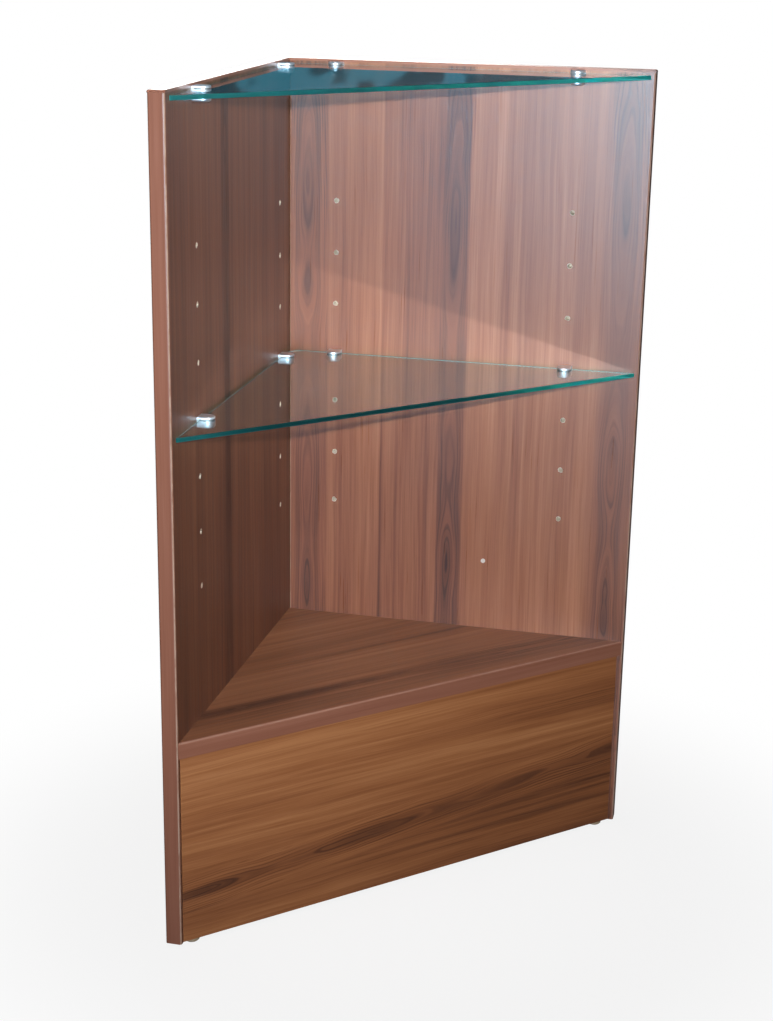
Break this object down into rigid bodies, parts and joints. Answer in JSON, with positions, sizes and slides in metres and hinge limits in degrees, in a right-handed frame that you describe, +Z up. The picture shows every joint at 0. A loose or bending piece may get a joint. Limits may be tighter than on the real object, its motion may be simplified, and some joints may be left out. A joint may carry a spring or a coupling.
{
  "type": "corner display cabinet",
  "caption": "Open corner display cabinet: drilled laminate walls in a right angle, a triangular deck on a kick board, and triangular glass shelves in chrome clamps.",
  "frame": {"origin": "on the floor, under the middle of the cabinet's bounding box", "axes": "+X along the right wall board, away from the inner corner; +Y through the right board, towards the room wall; +Z up. The open front faces +X -Y."},
  "size_m": [0.46, 0.46, 0.965],
  "materials": {
    "cherry_laminate": "satin melamine laminate with a cherry grain on chipboard",
    "edge_band": "satin plastic edge band in the laminate's colour",
    "glass": "clear float glass with ground green edges",
    "chrome": "polished chrome plating",
    "clear_pad": "clear soft plastic",
    "steel": "zinc plated",
    "zinc": "raw die casting",
    "beech": "plain, fluted",
    "glide": "plain moulded",
    "cap": "plain moulded"
  },
  "bodies": {
    "cabinet": {"left_panel": "cherry_laminate", "right_panel": "cherry_laminate", "deck_panel": "cherry_laminate", "kick_board": "cherry_laminate", "left_panel_front_band": "edge_band", "left_panel_back_band": "edge_band", "left_panel_top_band": "edge_band", "right_panel_end_band": "edge_band", "right_panel_corner_band": "edge_band", "right_panel_top_band": "edge_band", "deck_front_band": "edge_band", "mid_left_back_clamp": "chrome", "mid_left_front_clamp": "chrome", "mid_right_back_clamp": "chrome", "mid_right_front_clamp": "chrome", "top_left_back_clamp": "chrome", "top_left_front_clamp": "chrome", "top_right_back_clamp": "chrome", "top_right_front_clamp": "chrome", "mid_clamp_pads": "clear_pad", "mid_clamp_grub_screws": "steel", "top_clamp_pads": "clear_pad", "top_clamp_grub_screws": "steel", "corner_cam_bolts": "steel", "corner_cams": "zinc", "deck_cam_bolts": "steel", "deck_cams": "zinc", "corner_dowels": "beech", "deck_dowels": "beech", "kick_dowels": "beech", "left_kick_bracket": "steel", "right_kick_bracket": "steel", "kick_bracket_screws": "steel", "left_glide": "glide", "right_glide": "glide", "corner_glide": "glide", "wall_fixing_cap": "cap"},
    "mid_glass": {"mid_glass": "glass"},
    "top_glass": {"top_glass": "glass"}
  },
  "joints": [
    {"name": "mid_glass_slide", "type": "slide", "parent": "cabinet", "child": "mid_glass", "axis": [0.7071, -0.7071, 0], "range_m": [0, 0.32]},
    {"name": "top_glass_slide", "type": "slide", "parent": "cabinet", "child": "top_glass", "axis": [0.7071, -0.7071, 0], "range_m": [0, 0.32]}
  ]
}
